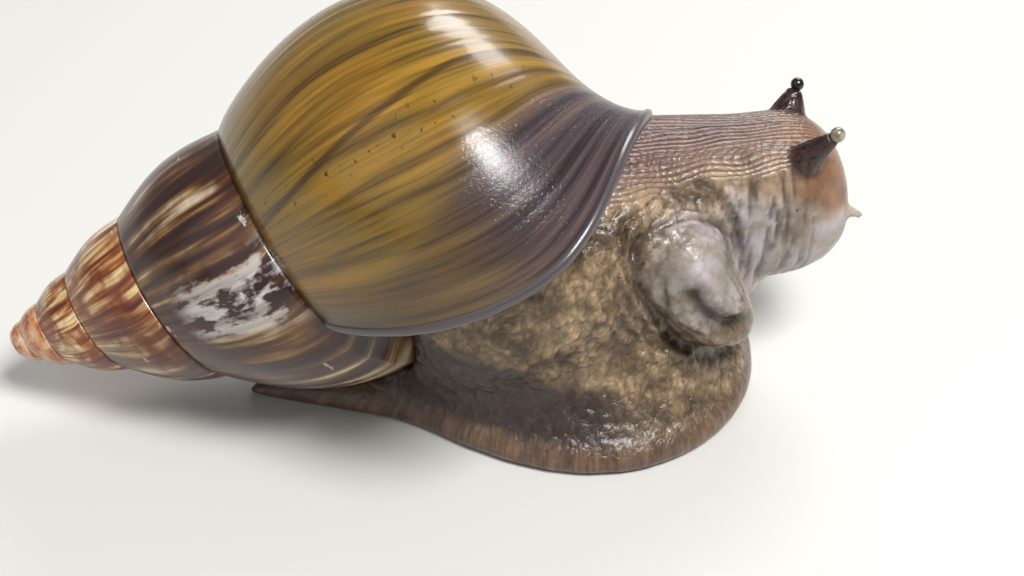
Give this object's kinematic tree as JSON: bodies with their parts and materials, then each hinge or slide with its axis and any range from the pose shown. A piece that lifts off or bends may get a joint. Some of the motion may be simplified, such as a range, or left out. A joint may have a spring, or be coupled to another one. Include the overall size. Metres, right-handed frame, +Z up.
{
  "type": "giant african land snail",
  "caption": "Life-size still model of a giant land snail: a tall spiral shell over a broad wet foot, with the head raised and its feelers half drawn in.",
  "frame": {"origin": "centre of the bounding box, at the level the sole rests on", "axes": "+X towards the head, +Y to the animal's left, +Z up"},
  "size_m": [0.1684, 0.0854, 0.0881],
  "materials": {
    "shell": "glossy",
    "shell_lip": "satin",
    "skin": "wet",
    "eye": "wet"
  },
  "bodies": {
    "root": {"shell_apex": "shell", "shell_upper_spire": "shell", "shell_middle_spire": "shell", "shell_penultimate_whorl": "shell", "shell_body_whorl": "shell", "shell_lip": "shell_lip", "mantle_edge": "skin", "foot_tail": "skin", "foot_middle": "skin", "foot_front": "skin", "foot_front_fold": "skin", "trunk": "skin", "neck": "skin", "head": "skin", "mouth": "skin", "upper_tentacle_right": "skin", "upper_tentacle_left": "skin", "lower_tentacle_right": "skin", "lower_tentacle_left": "skin", "eye_right": "eye", "eye_left": "eye"}
  },
  "joints": []
}
